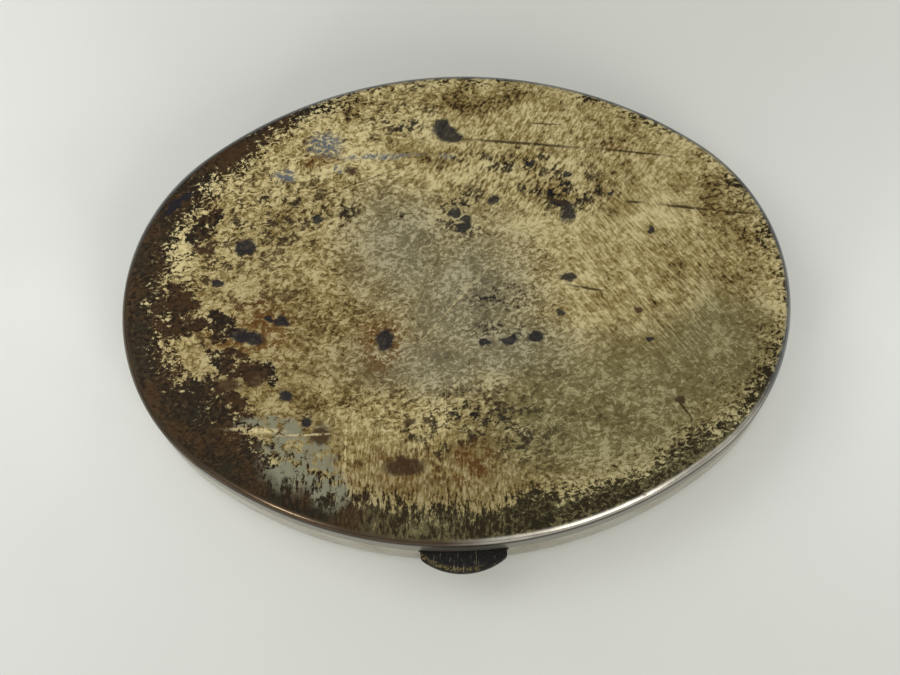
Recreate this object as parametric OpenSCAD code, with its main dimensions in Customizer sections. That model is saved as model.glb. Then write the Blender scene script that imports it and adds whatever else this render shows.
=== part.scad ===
/* [Overall size] */
// Length of the oval, end to end
box_l = 64; // [58:1:76]
// Width of the oval, thumb catch side to hinge side, over the walls
box_w = 47.2; // [44:0.2:56]
// Height of the base, from the table to the seam
base_h = 5.5; // [5:0.1:8]
// Height of the lid's side, from the seam to the edge of its top
lid_h = 3.15; // [3:0.05:5]
// How far the middle of the lid swells above its edge
lid_crown = 0.35; // [0.2:0.05:0.8]

/* [Sheet metal] */
// Thickness of the base's wall and floor
base_t = 0.65; // [0.6:0.05:0.9]
// Rounding where the base's wall meets its floor, outside
base_edge_r = 1; // [0.7:0.05:1.3]
// Rounding where the lid's wall meets its top, outside
lid_edge_r = 0.9; // [0.7:0.05:1.2]
// Rounding of the corners inside both shells
inner_edge_r = 0.35; // [0.2:0.05:0.45]
// Gap between the closed lid and the base
seam_gap = 0.06; // [0.03:0.01:0.15]

/* [Collar inside the base] */
// Thickness of the collar's strip
collar_t = 0.4; // [0.3:0.05:0.6]
// Height of the collar above the seam
collar_rise = 1.2; // [0.8:0.1:1.6]
// Depth of the collar below the seam
collar_drop = 3.2; // [2.8:0.1:3.8]
// Gap between the collar and the inside of the lid
collar_gap = 0.15; // [0.1:0.01:0.2]

/* [Hinge] */
// Length of the row of knuckles
hinge_l = 13; // [11:0.5:20]
// How far the pin stands outside the wall at the ends of the row
hinge_out = 0.05; // [0:0.05:0.5]
// Outer radius of a knuckle
knuckle_r = 1; // [0.85:0.05:1.1]
// Radius of the hinge pin
pin_r = 0.45; // [0.35:0.05:0.55]
// Running clearance of the pin, on radius
pin_clear = 0.03; // [0.02:0.01:0.08]
// Gap between two knuckles
knuckle_gap = 0.1; // [0.06:0.02:0.2]
// Gap between a knuckle and the groove that it turns in
groove_clear = 0.12; // [0.08:0.01:0.2]
// Gap at the ends of the row of knuckles, and between the bearers and the collar
notch_clear = 0.15; // [0.1:0.01:0.25]
// How far a bearer reaches into the box from the pin
bearer_depth = 1.8; // [1.5:0.1:2.4]
// Height of a bearer
bearer_h = 2.1; // [1.8:0.1:2.4]

/* [Thumb catch] */
// Width of the half-moon tab
tab_w = 8.1; // [7:0.1:10]
// How far the tab stands out of the wall
tab_reach = 2; // [1.8:0.1:3]
// Thickness of the tab
tab_t = 0.8; // [0.6:0.05:1]
// Radius of the tab's curved front
tab_front_r = 6.4; // [5.2:0.1:7]
// Rounding of the tab's lower and upper front edges
tab_edge_r = 0.2; // [0.1:0.05:0.3]
// Depth of the tab's top below the seam
tab_drop = 0.25; // [0.2:0.05:0.5]
// Gap round the tab in its slot
slot_clear = 0.15; // [0.1:0.01:0.25]
// Gap between the catch and the collar behind the wall
catch_room = 0.35; // [0.3:0.05:0.6]
// Thickness of the tab's turned-down flange
flange_t = 0.5; // [0.4:0.05:0.7]
// Height of the flange under the tab
flange_h = 1.6; // [1.4:0.1:1.8]
// Width of the flange and the spring
spring_w = 6.6; // [5.6:0.1:7]
// Thickness of the spring
spring_t = 0.3; // [0.2:0.02:0.4]
// Inner radius of the spring's bend
spring_bend_r = 0.6; // [0.4:0.05:0.8]
// Length of the spring's foot on the floor, from its standing leaf
foot_l = 3.6; // [3:0.1:5]
// Width of the hook
hook_w = 4.4; // [3.6:0.1:5]
// Thickness of the hook's plate
hook_t = 0.4; // [0.3:0.05:0.6]
// Thickness of the hook's nose
nose_t = 0.5; // [0.4:0.05:0.6]
// Radius of a catch rivet's shank
rivet_r = 0.35; // [0.25:0.05:0.45]
// Radius of a catch rivet's head
rivet_head_r = 0.62; // [0.5:0.02:0.8]
// Height of a catch rivet's head
rivet_head_h = 0.28; // [0.2:0.02:0.4]
// Gap between a rivet and its hole in the spring
rivet_clear = 0.03; // [0.02:0.01:0.08]
// Distance between the two catch rivets
rivet_pitch = 2.8; // [2:0.1:3.2]

/* [Lug on the lid] */
// Width of the lug
lug_w = 5; // [4:0.1:6]
// Thickness of the lug
lug_t = 0.5; // [0.4:0.05:0.6]
// How far the lug reaches in from the lid's wall
lug_reach = 0.8; // [0.7:0.05:1]
// Height of the lug's underside above the seam
lug_rise = 0.6; // [0.4:0.05:0.7]
// Gap between the lug's edge and the hook's nose
hook_gap = 0.08; // [0.05:0.01:0.15]
// Gap between the lug's top and the height of the hook's nose
hook_lift = 0.1; // [0.05:0.01:0.2]

/* [Hidden] */
$fn = 180;
bore_fn = 48;
eps = 0.01;
// How far a cutting shape runs past the metal, and the side of one that need only be large
past = 1;
cut = 6;

// A four-centre oval: end arcs about (+-end_x, 0) and side arcs about (0, -+side_y). An end's centre,
// a side's centre and the oval's middle are the corners of a 3-4-5 triangle, so the arcs run into
// each other along the direction (0.6, 0.8).
half_l = box_l / 2;
half_w = box_w / 2;
end_x = 1.5 * (half_l - half_w);
end_r = half_l - end_x;
side_y = end_x * 4 / 3;
side_r = half_w + side_y;
join_dir = [0.6, 0.8];
join_reach = 80;

// Walls: the lid's wall is thinner than the base's by the collar's gap, so both are flush outside
lid_t = base_t - collar_gap;
rim_w = 3;
lid_z = base_h + seam_gap;
lid_top = base_h + lid_h;
collar_z = base_h - collar_drop;

// Crown of the lid: a torus patch that is level along the edge of the top
crown_margin = 0.2;
crown_x = half_l - lid_edge_r - crown_margin;
crown_y = half_w - lid_edge_r - crown_margin;
crown_rx = crown_x * crown_x / (2 * lid_crown) + lid_crown / 2;
crown_ry = crown_y * crown_y / (2 * lid_crown) + lid_crown / 2;
crown_fn = 1800;
crown_turn_margin = 0.2;
crown_turn = asin(half_w / crown_ry) + crown_turn_margin;

// Hinge: the pin is set by the outside of the wall at the ends of the row of knuckles
notch_x = hinge_l / 2 + notch_clear;
pin_y = sqrt(side_r * side_r - notch_x * notch_x) - side_y + hinge_out;
knuckle_n = 5;
knuckle_l = (hinge_l - (knuckle_n - 1) * knuckle_gap) / knuckle_n;
bearer_over = 0.4;
bearer_x = notch_x + bearer_over;
bearer_cut = bearer_x + notch_clear;

// Catch: places along Y are counted inwards from the front of the wall
wall_y = -half_w;
collar_in = wall_y + base_t + collar_t;
flange_y = collar_in + catch_room;
leaf_y = flange_y + flange_t;
hook_y = leaf_y + spring_t;
hook_back = hook_y + hook_t;
tab_top = base_h - tab_drop;
tab_bottom = tab_top - tab_t;
flange_bottom = tab_bottom - flange_h;
slot_x = tab_w / 2 + slot_clear;
slot_bottom = tab_bottom - slot_clear;
rivet_z = tab_bottom - flange_h / 2;
lug_z = base_h + lug_rise;
lug_y = wall_y + lid_t + lug_reach;
nose_y = lug_y + hook_gap;
nose_z = lug_z + lug_t + hook_lift;
lug_cut = slot_x + slot_clear;
dome_ease = 0.1;
dome_r = (rivet_head_r * rivet_head_r + rivet_head_h * rivet_head_h) / (2 * rivet_head_h) + dome_ease;

// The wedge between the two joins that leave a centre, widening along X for an end or Y for a side
module end_wedge() {
    translate([end_x, 0, 0])
        linear_extrude(join_reach, center = true)
            polygon(join_reach * [[0, 0], [join_dir[0], -join_dir[1]], [join_dir[0], join_dir[1]]]);
}

module side_wedge() {
    translate([0, -side_y, 0])
        linear_extrude(join_reach, center = true)
            polygon(join_reach * [[0, 0], [join_dir[0], join_dir[1]], [-join_dir[0], join_dir[1]]]);
}

// A profile drawn with x outwards from the oval's edge and y upwards, carried round the oval
module round_oval() {
    for (s = [0, 1]) {
        mirror([s, 0, 0])
            intersection() {
                translate([end_x, 0, 0])
                    rotate_extrude()
                        translate([end_r, 0])
                            children();
                end_wedge();
            }
        mirror([0, s, 0])
            intersection() {
                translate([0, -side_y, 0])
                    rotate_extrude()
                        translate([side_r, 0])
                            children();
                side_wedge();
            }
    }
}

// Corner points of a polygon that lies half way across the rim's width, to fill a plate's middle
function end_point(a) = [end_x + (end_r - rim_w / 2) * cos(a), (end_r - rim_w / 2) * sin(a)];
function side_point(a) = [(side_r - rim_w / 2) * cos(a), (side_r - rim_w / 2) * sin(a) - side_y];
join_a = atan2(join_dir[1], join_dir[0]);
quarter = concat(
    [for (i = [0 : 4]) end_point(join_a * i / 4)],
    [for (i = [1 : 4]) side_point(join_a + (90 - join_a) * i / 4)]);
last = len(quarter) - 1;
middle_outline = concat(
    quarter,
    [for (i = [1 : last]) [-quarter[last - i][0], quarter[last - i][1]]],
    [for (i = [1 : last]) [-quarter[i][0], -quarter[i][1]]],
    [for (i = [1 : last - 1]) [quarter[last - i][0], -quarter[last - i][1]]]);

// Section of a tray's rim: a wall that turns through a rounded corner into a flat floor
module tray_section(h, wall, floor_t, outer_r) {
    difference() {
        union() {
            translate([-rim_w, 0])
                square([rim_w - outer_r, h]);
            translate([-outer_r - eps, outer_r])
                square([outer_r + eps, h - outer_r]);
            translate([-outer_r, outer_r])
                circle(outer_r, $fn = 64);
        }
        translate([-rim_w - past, floor_t])
            square([rim_w + past - wall - inner_edge_r, h]);
        translate([-wall - inner_edge_r - eps, floor_t + inner_edge_r])
            square([inner_edge_r + eps, h]);
        translate([-wall - inner_edge_r, floor_t + inner_edge_r])
            circle(inner_edge_r, $fn = 48);
    }
}

module tray(h, wall, floor_t, outer_r) {
    round_oval()
        tray_section(h, wall, floor_t, outer_r);
    linear_extrude(floor_t)
        polygon(middle_outline);
}

// The part of the crown's torus that lies above a level
module crown_above(level) {
    intersection() {
        translate([0, 0, level + lid_crown - crown_ry])
            rotate([0, -90, 0])
                rotate([0, 0, -crown_turn])
                    rotate_extrude(angle = 2 * crown_turn, $fn = crown_fn)
                        intersection() {
                            translate([crown_ry - crown_rx, 0])
                                circle(crown_rx, $fn = crown_fn);
                            translate([crown_ry - 2 * past, -half_l])
                                square([3 * past, box_l]);
                        }
        translate([-half_l, -half_w, level])
            cube([box_l, box_w, 2 * lid_crown]);
    }
}

// One cylinder along X for each knuckle of the row, first to last
module knuckle_row(which, r, extra) {
    for (i = which)
        translate([(i - (knuckle_n - 1) / 2) * (knuckle_l + knuckle_gap), pin_y, base_h])
            rotate([0, 90, 0])
                cylinder(h = knuckle_l + 2 * extra, r = r, center = true, $fn = bore_fn);
}

base_knuckles = [0, 2, 4];
lid_knuckles = [1, 3];

// Room for one shell's own knuckles, which are soldered in, and for those that turn past it
module hinge_groove(own, others) {
    knuckle_row(own, knuckle_r, notch_clear);
    knuckle_row(others, knuckle_r + groove_clear, knuckle_gap);
}

module knuckle(i) {
    difference() {
        knuckle_row([i], knuckle_r, 0);
        knuckle_row([i], pin_r + pin_clear, past);
    }
}

// A strip soldered inside the wall, which carries its shell's knuckles
module bearer(z, wall, own, others) {
    difference() {
        translate([-bearer_x, pin_y - bearer_depth, z])
            cube([2 * bearer_x, bearer_depth + past, bearer_h]);
        round_oval()
            translate([-wall, z - past])
                square([cut, bearer_h + 2 * past]);
        hinge_groove(own, others);
    }
}

module base_shell() {
    color("#8d8a74")
        difference() {
            tray(base_h, base_t, base_t, base_edge_r);
            translate([-slot_x, wall_y - past, slot_bottom])
                cube([2 * slot_x, base_t + 2 * past, base_h]);
            hinge_groove(base_knuckles, lid_knuckles);
        }
}

module base_collar() {
    color("#b9a562")
        difference() {
            round_oval()
                translate([-base_t - collar_t, collar_z])
                    square([collar_t, collar_drop + collar_rise]);
            translate([-bearer_cut, half_w - 2 * cut, base_h - bearer_h - notch_clear])
                cube([2 * bearer_cut, 2 * cut, base_h]);
            translate([-lug_cut, wall_y, slot_bottom])
                cube([2 * lug_cut, cut, base_h]);
        }
}

module base_bearer() {
    color("#9a9176")
        bearer(base_h - bearer_h, base_t, base_knuckles, lid_knuckles);
}

module hinge_pin() {
    color("#7d7a72")
        translate([0, pin_y, base_h])
            rotate([0, 90, 0])
                cylinder(h = hinge_l, r = pin_r, center = true, $fn = bore_fn);
}

// Section of the spring, from the side: a foot on the floor, a round bend and a standing leaf
module spring_section() {
    bend_y = leaf_y + spring_t + spring_bend_r;
    bend_z = base_t + spring_t + spring_bend_r;
    translate([bend_y, base_t])
        square([foot_l - spring_t - spring_bend_r, spring_t]);
    translate([leaf_y, bend_z])
        square([spring_t, tab_top - bend_z]);
    translate([bend_y, bend_z])
        intersection() {
            difference() {
                circle(spring_bend_r + spring_t, $fn = bore_fn);
                circle(spring_bend_r, $fn = bore_fn);
            }
            translate([-cut, -cut])
                square(cut);
        }
}

module catch_spring() {
    color("#a89b6a")
        difference() {
            translate([-spring_w / 2, 0, 0])
                rotate([90, 0, 90])
                    linear_extrude(spring_w)
                        spring_section();
            catch_rivet_row()
                cylinder(h = cut, r = rivet_r + rivet_clear, center = true, $fn = bore_fn);
        }
}

// Outline of the half-moon tab seen from above, with its straight sides carried in to the spring
module tab_outline(inset) {
    intersection() {
        translate([0, wall_y - tab_reach + tab_front_r])
            circle(tab_front_r - inset, $fn = 96);
        translate([-tab_w / 2 + inset, wall_y - tab_reach])
            square([tab_w - 2 * inset, tab_reach + base_t]);
    }
    translate([-tab_w / 2 + inset, wall_y])
        square([tab_w - 2 * inset, leaf_y - wall_y]);
}

module thumb_tab() {
    color("#2c2a26") {
        difference() {
            union() {
                translate([0, 0, tab_bottom])
                    linear_extrude(tab_t)
                        tab_outline(tab_edge_r);
                translate([0, 0, tab_bottom + tab_edge_r])
                    linear_extrude(tab_t - 2 * tab_edge_r)
                        tab_outline(0);
                translate([-spring_w / 2, flange_y, flange_bottom])
                    cube([spring_w, flange_t, flange_h + eps]);
            }
            catch_rivet_row()
                cylinder(h = cut, r = rivet_r, center = true, $fn = bore_fn);
        }
    }
}

module catch_rivet_row() {
    for (s = [-1, 1])
        translate([s * rivet_pitch / 2, hook_back, rivet_z])
            rotate([90, 0, 0])
                children();
}

// A plate behind the spring whose nose reaches forward at the height of the lid's lug
module latch_hook() {
    color("#8f8b80")
        difference() {
            translate([-hook_w / 2, 0, 0])
                union() {
                    translate([0, hook_y, flange_bottom])
                        cube([hook_w, hook_t, nose_z + nose_t - flange_bottom]);
                    translate([0, nose_y, nose_z])
                        cube([hook_w, hook_back - nose_y, nose_t]);
                }
            catch_rivet_row()
                cylinder(h = cut, r = rivet_r, center = true, $fn = bore_fn);
        }
}

// Two rivets through the flange, the spring and the hook, with domed heads inside the box
module catch_rivets() {
    color("#b08d4c")
        catch_rivet_row() {
            cylinder(h = hook_back - flange_y, r = rivet_r, $fn = bore_fn);
            intersection() {
                translate([0, 0, -rivet_head_h])
                    cylinder(h = rivet_head_h, r = rivet_head_r, $fn = bore_fn);
                translate([0, 0, dome_r - rivet_head_h])
                    sphere(dome_r, $fn = 96);
            }
        }
}

module lid_shell() {
    color("#8f8460")
        difference() {
            union() {
                translate([0, 0, lid_top])
                    mirror([0, 0, 1])
                        tray(lid_top - lid_z, lid_t, lid_t, lid_edge_r);
                crown_above(lid_top);
            }
            crown_above(lid_top - lid_t);
            hinge_groove(lid_knuckles, base_knuckles);
        }
}

module lid_bearer() {
    color("#9a9176")
        bearer(lid_z, lid_t, lid_knuckles, base_knuckles);
}

module lid_lug() {
    color("#8f8b80")
        difference() {
            translate([-lug_w / 2, wall_y, lug_z])
                cube([lug_w, lid_t + lug_reach, lug_t]);
            round_oval()
                translate([-lid_t, lug_z - past])
                    square([cut, lug_t + 2 * past]);
        }
}

module base_knuckle(i) {
    color("#8d8a74")
        knuckle(i);
}

module lid_knuckle(i) {
    color("#8f8460")
        knuckle(i);
}

base_shell();
base_collar();
base_bearer();
base_knuckle(base_knuckles[0]);  // base_knuckle_left
base_knuckle(base_knuckles[1]);  // base_knuckle_middle
base_knuckle(base_knuckles[2]);  // base_knuckle_right
hinge_pin();
catch_spring();
thumb_tab();
latch_hook();
catch_rivets();
lid_shell();
lid_bearer();
lid_knuckle(lid_knuckles[0]);  // lid_knuckle_left
lid_knuckle(lid_knuckles[1]);  // lid_knuckle_right
lid_lug();
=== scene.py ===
import math
import bmesh
import bpy
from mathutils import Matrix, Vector


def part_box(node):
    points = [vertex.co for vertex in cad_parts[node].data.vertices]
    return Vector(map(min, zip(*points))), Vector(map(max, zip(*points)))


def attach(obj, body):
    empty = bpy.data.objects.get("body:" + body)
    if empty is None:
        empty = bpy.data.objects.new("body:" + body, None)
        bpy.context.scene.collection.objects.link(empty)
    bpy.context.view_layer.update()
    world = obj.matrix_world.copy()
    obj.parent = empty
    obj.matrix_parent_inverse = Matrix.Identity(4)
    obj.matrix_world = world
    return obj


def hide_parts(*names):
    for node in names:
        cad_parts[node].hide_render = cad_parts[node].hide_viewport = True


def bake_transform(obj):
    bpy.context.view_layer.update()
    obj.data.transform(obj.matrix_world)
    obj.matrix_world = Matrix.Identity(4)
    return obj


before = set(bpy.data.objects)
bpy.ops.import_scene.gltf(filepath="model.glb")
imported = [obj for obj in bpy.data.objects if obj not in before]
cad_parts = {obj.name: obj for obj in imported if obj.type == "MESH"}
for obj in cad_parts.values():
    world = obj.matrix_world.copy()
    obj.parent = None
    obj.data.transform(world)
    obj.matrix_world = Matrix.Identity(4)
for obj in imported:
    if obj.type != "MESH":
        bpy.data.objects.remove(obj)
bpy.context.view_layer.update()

# Oval pill box: every piece is modelled in metres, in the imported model's own frame.
mm = 0.001
# How close counts as on a plane, and how far a cutting shape runs past the metal
near = 0.01 * mm
past = 2 * mm


def nodeBox(name):
    low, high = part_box(name)
    return Vector(low), Vector(high)


lidLow, lidHigh = nodeBox("lid_shell")
baseLow, baseHigh = nodeBox("base_shell")
tabLow, tabHigh = nodeBox("thumb_tab")
pinLow, pinHigh = nodeBox("hinge_pin")
hingeMiddle = (pinLow + pinHigh) / 2

# The outline is the classic four-centre oval on a 3-4-5 triangle.
halfLength = (lidHigh.x - lidLow.x) / 2
halfWidth = (lidHigh.y - lidLow.y) / 2
endX = 1.5 * (halfLength - halfWidth)
endRadius = halfLength - endX
sideY = endX * 4 / 3
sideRadius = halfWidth + sideY

sheet = {
    "baseWall": 0.65 * mm,
    "lidWall": 0.5 * mm,
    "lidEdge": 0.9 * mm,
    "baseEdge": 1.0 * mm,
    "crown": 0.35 * mm,
    "rimBevel": 0.07 * mm,
    "endSteps": 36,
    "sideSteps": 52,
    "edgeSegments": 9,
    "lidRings": 18,
    "baseRings": 8,
}


# Selecting and editing, as by hand

def clearSelection():
    if bpy.context.object and bpy.context.object.mode != "OBJECT":
        bpy.ops.object.mode_set(mode="OBJECT")
    bpy.ops.object.select_all(action="DESELECT")


def makeActive(piece):
    clearSelection()
    piece.select_set(True)
    bpy.context.view_layer.objects.active = piece


def startEditing(piece, mode="VERT"):
    makeActive(piece)
    bpy.ops.object.mode_set(mode="EDIT")
    bpy.ops.mesh.select_mode(type=mode)
    bpy.ops.mesh.select_all(action="DESELECT")


def stopEditing():
    bpy.ops.object.mode_set(mode="OBJECT")


def pickEdges(piece, test):
    mesh = bmesh.from_edit_mesh(piece.data)
    for edge in mesh.edges:
        edge.select = test(edge)
    mesh.select_flush_mode()
    bmesh.update_edit_mesh(piece.data)


def pickFaces(piece, test):
    mesh = bmesh.from_edit_mesh(piece.data)
    for face in mesh.faces:
        face.select = test(face)
    mesh.select_flush_mode()
    bmesh.update_edit_mesh(piece.data)


def faceOut(piece):
    startEditing(piece, "FACE")
    bpy.ops.mesh.select_all(action="SELECT")
    bpy.ops.mesh.remove_doubles(threshold=0.001 * mm)
    bpy.ops.mesh.normals_make_consistent(inside=False)
    stopEditing()


def applyModifier(piece, kind, name, **settings):
    makeActive(piece)
    modifier = piece.modifiers.new(name, kind)
    for key, value in settings.items():
        setattr(modifier, key, value)
    bpy.ops.object.modifier_apply(modifier=modifier.name)


def scorePiece(place, normal):
    # Adds edges where a plane crosses the piece being edited, and cuts nothing off
    bpy.ops.mesh.select_all(action="SELECT")
    bpy.ops.mesh.bisect(plane_co=place, plane_no=normal)


def cutAway(piece, cutter):
    applyModifier(piece, "BOOLEAN", "cut", operation="DIFFERENCE", solver="EXACT", object=cutter)
    bpy.data.objects.remove(cutter)


def softenEdges(piece, width, segments=2, degrees=50):
    applyModifier(piece, "BEVEL", "softEdges", width=width, segments=segments, limit_method="ANGLE",
                  angle_limit=math.radians(degrees))


def thickenInward(piece, thick, liner=0):
    # liner is how many slots further the inside's material lies
    applyModifier(piece, "SOLIDIFY", "wall", thickness=thick, offset=-1, use_even_offset=True,
                  use_quality_normals=True, material_offset=liner)


def smoothByAngle(piece, degrees=38):
    makeActive(piece)
    bpy.ops.object.shade_smooth_by_angle(angle=math.radians(degrees))


def atOrigin(piece):
    makeActive(piece)
    bpy.ops.object.transform_apply(location=True, rotation=True, scale=True)


def joinPieces(pieces, name):
    clearSelection()
    for piece in pieces:
        piece.select_set(True)
    bpy.context.view_layer.objects.active = pieces[0]
    bpy.ops.object.join()
    pieces[0].name = name
    pieces[0].data.name = name
    return pieces[0]


# The oval outline, by the direction that it faces

def outlineTurns():
    joinTurn = math.atan2(4, 3)
    turns = []
    for half in (0, math.pi):
        for step in range(sheet["endSteps"]):
            turns.append(half - joinTurn + 2 * joinTurn * step / sheet["endSteps"])
        for step in range(sheet["sideSteps"]):
            turns.append(half + joinTurn + (math.pi - 2 * joinTurn) * step / sheet["sideSteps"])
    return turns


def ovalPoint(turn, inset, z):
    across, along = math.cos(turn), math.sin(turn)
    if abs(across) > 0.6 - 1e-6:
        centre, radius = (math.copysign(endX, across), 0), endRadius
    else:
        centre, radius = (0, -math.copysign(sideY, along)), sideRadius
    reach = radius - inset
    return Vector((centre[0] + reach * across, centre[1] + reach * along, z))


def addOvalPlate(name, z, inset, fill="NGON"):
    turns = outlineTurns()
    clearSelection()
    bpy.ops.mesh.primitive_circle_add(vertices=len(turns), radius=halfLength, fill_type=fill)
    piece = bpy.context.active_object
    piece.name = name
    piece.data.name = name
    for vert, turn in zip(piece.data.vertices, turns):
        vert.co = ovalPoint(turn, inset, z)
    return piece


def extrudeBy(x, y, z):
    bpy.ops.mesh.extrude_region_move(TRANSFORM_OT_translate={"value": (x, y, z)})


def extrudeUp(height):
    extrudeBy(0, 0, height)


def isCap(face):
    # The flat ends of a drum or an oval have far more corners than any other face.
    return len(face.verts) > 8


def ringFill(ringCount):
    # Turns the selected flat oval face into rings, so that it can swell smoothly.
    for ring in range(ringCount, 0, -1):
        share = (ring - 0.5) / (ring + 0.5)
        extrudeUp(0)
        bpy.ops.transform.resize(value=(share, share, 1), center_override=(0, 0, 0))
    bpy.ops.mesh.poke()


def addDrum(radius, length, centre, corners=64, turn=(0, math.pi / 2, 0)):
    # A cylinder, along X unless it is turned
    clearSelection()
    bpy.ops.mesh.primitive_cylinder_add(vertices=corners, radius=radius, depth=length, location=centre,
                                        rotation=turn)
    piece = bpy.context.active_object
    atOrigin(piece)
    return piece


def addBox(low, high):
    clearSelection()
    middle = [(a + b) / 2 for a, b in zip(low, high)]
    bpy.ops.mesh.primitive_cube_add(size=1, location=middle)
    piece = bpy.context.active_object
    piece.scale = [b - a for a, b in zip(low, high)]
    atOrigin(piece)
    return piece


# Shader helpers

def linear(red, green, blue):
    # From the 0 to 255 values of a colour picker to the shader's own scale
    def channel(value):
        share = value / 255
        return share / 12.92 if share <= 0.04045 else ((share + 0.055) / 1.055) ** 2.4
    return (channel(red), channel(green), channel(blue), 1)


def addNode(tree, kind, inputs=None, **settings):
    node = tree.nodes.new(kind)
    for key, value in settings.items():
        setattr(node, key, value)
    for key, value in (inputs or {}).items():
        if isinstance(value, bpy.types.NodeSocket):
            tree.links.new(value, node.inputs[key])
        else:
            node.inputs[key].default_value = value
    return node


def calc(tree, operation, first, second=0.0):
    return addNode(tree, "ShaderNodeMath", {0: first, 1: second}, operation=operation).outputs[0]


def times(tree, first, second):
    return calc(tree, "MULTIPLY", first, second)


def plus(tree, first, second):
    return calc(tree, "ADD", first, second)


def minus(tree, first, second):
    return calc(tree, "SUBTRACT", first, second)


def larger(tree, first, second):
    return calc(tree, "MAXIMUM", first, second)


def ramp(tree, value, low, high, toLow=0.0, toHigh=1.0):
    node = addNode(tree, "ShaderNodeMapRange", {0: value, 1: low, 2: high, 3: toLow, 4: toHigh},
                   interpolation_type="SMOOTHSTEP")
    return node.outputs[0]


def blendValue(tree, factor, first, second):
    return addNode(tree, "ShaderNodeMix", {0: factor, 2: first, 3: second}).outputs[0]


def blendColour(tree, factor, first, second):
    return addNode(tree, "ShaderNodeMix", {0: factor, 6: first, 7: second}, data_type="RGBA").outputs[2]


def vectorMath(tree, operation, first, second):
    return addNode(tree, "ShaderNodeVectorMath", {0: first, 1: second}, operation=operation).outputs[0]


def noiseAt(tree, place, scale, detail, rough=0.5):
    return addNode(tree, "ShaderNodeTexNoise", {"Vector": place, "Scale": scale, "Detail": detail,
                                                "Roughness": rough}).outputs["Fac"]


def addBump(tree, shader, height, strength, depth):
    bump = addNode(tree, "ShaderNodeBump", {"Strength": strength, "Distance": depth, "Height": height})
    tree.links.new(bump.outputs[0], shader.inputs["Normal"])


def startMaterial(name):
    material = bpy.data.materials.new(name)
    material.use_nodes = True
    tree = material.node_tree
    shader = tree.nodes["Principled BSDF"]
    place = addNode(tree, "ShaderNodeTexCoord").outputs["Object"]
    millimetres = addNode(tree, "ShaderNodeVectorMath", {0: place, 3: 1 / mm},
                          operation="SCALE").outputs[0]
    return material, tree, shader, millimetres


def startGroup(name, inputs, outputs):
    tree = bpy.data.node_groups.new(name, "ShaderNodeTree")
    for label, kind, default in inputs:
        socket = tree.interface.new_socket(label, in_out="INPUT", socket_type="NodeSocket" + kind)
        if default is not None:
            socket.default_value = default
    for label, kind in outputs:
        tree.interface.new_socket(label, in_out="OUTPUT", socket_type="NodeSocket" + kind)
    return tree, tree.nodes.new("NodeGroupInput").outputs, tree.nodes.new("NodeGroupOutput").inputs


def useGroup(tree, group, output, **values):
    node = tree.nodes.new("ShaderNodeGroup")
    node.node_tree = group
    for key, value in values.items():
        if isinstance(value, bpy.types.NodeSocket):
            tree.links.new(value, node.inputs[key])
        else:
            node.inputs[key].default_value = value
    return node.outputs[output]


# Shared effects

def makeStrokeGroup():
    # Noise drawn out into short strokes that run along Turn: Long and Wide are their size in mm
    tree, given, result = startGroup(
        "strokes",
        [("Vector", "Vector", None), ("Turn", "Float", 0.0), ("Long", "Float", 1.0),
         ("Wide", "Float", 0.4), ("Detail", "Float", 3.0), ("Rough", "Float", 0.6)],
        [("Value", "Float")])
    back = times(tree, given["Turn"], -1.0)
    turned = addNode(tree, "ShaderNodeVectorRotate", {"Vector": given["Vector"], "Angle": back},
                     rotation_type="Z_AXIS").outputs[0]
    size = addNode(tree, "ShaderNodeCombineXYZ", {0: given["Long"], 1: given["Wide"], 2: given["Wide"]})
    scaled = vectorMath(tree, "DIVIDE", turned, size.outputs[0])
    noise = addNode(tree, "ShaderNodeTexNoise",
                    {"Vector": scaled, "Scale": 1.0, "Detail": given["Detail"],
                     "Roughness": given["Rough"]})
    tree.links.new(noise.outputs["Fac"], result["Value"])
    return tree


def makeBlotchGroup():
    # A soft oval patch that lies along Turn: Vector may already be shaken, so that its edge is ragged
    tree, given, result = startGroup(
        "blotch",
        [("Vector", "Vector", None), ("Middle", "Vector", (0, 0, 0)), ("Size", "Vector", (1, 1, 1)),
         ("Turn", "Float", 0.0), ("Soft", "Float", 0.2)],
        [("Mask", "Float")])
    moved = vectorMath(tree, "SUBTRACT", given["Vector"], given["Middle"])
    back = times(tree, given["Turn"], -1.0)
    turned = addNode(tree, "ShaderNodeVectorRotate", {"Vector": moved, "Angle": back},
                     rotation_type="Z_AXIS").outputs[0]
    scaled = vectorMath(tree, "DIVIDE", turned, given["Size"])
    length = addNode(tree, "ShaderNodeVectorMath", {0: scaled}, operation="LENGTH").outputs["Value"]
    low = minus(tree, 1.0, given["Soft"])
    high = plus(tree, 1.0, given["Soft"])
    mask = ramp(tree, length, low, high, 1.0, 0.0)
    tree.links.new(mask, result["Mask"])
    return tree


def makeShakeGroup():
    # Moves a place about by noise: Reach in mm, Size is the noise's own size in mm
    tree, given, result = startGroup(
        "shake",
        [("Vector", "Vector", None), ("Size", "Float", 2.0), ("Reach", "Float", 1.0),
         ("Detail", "Float", 3.0)],
        [("Vector", "Vector")])
    scale = calc(tree, "DIVIDE", 1.0, given["Size"])
    noise = addNode(tree, "ShaderNodeTexNoise",
                    {"Vector": given["Vector"], "Scale": scale, "Detail": given["Detail"],
                     "Roughness": 0.6})
    centred = addNode(tree, "ShaderNodeVectorMath", {0: noise.outputs["Color"], 1: (0.5, 0.5, 0.5)},
                      operation="SUBTRACT").outputs[0]
    reach = times(tree, given["Reach"], 2.0)
    moved = addNode(tree, "ShaderNodeVectorMath", {0: centred, 3: reach}, operation="SCALE").outputs[0]
    flat = vectorMath(tree, "MULTIPLY", moved, (1, 1, 0))
    added = addNode(tree, "ShaderNodeVectorMath", {0: given["Vector"], 1: flat}, operation="ADD")
    tree.links.new(added.outputs[0], result["Vector"])
    return tree


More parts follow.
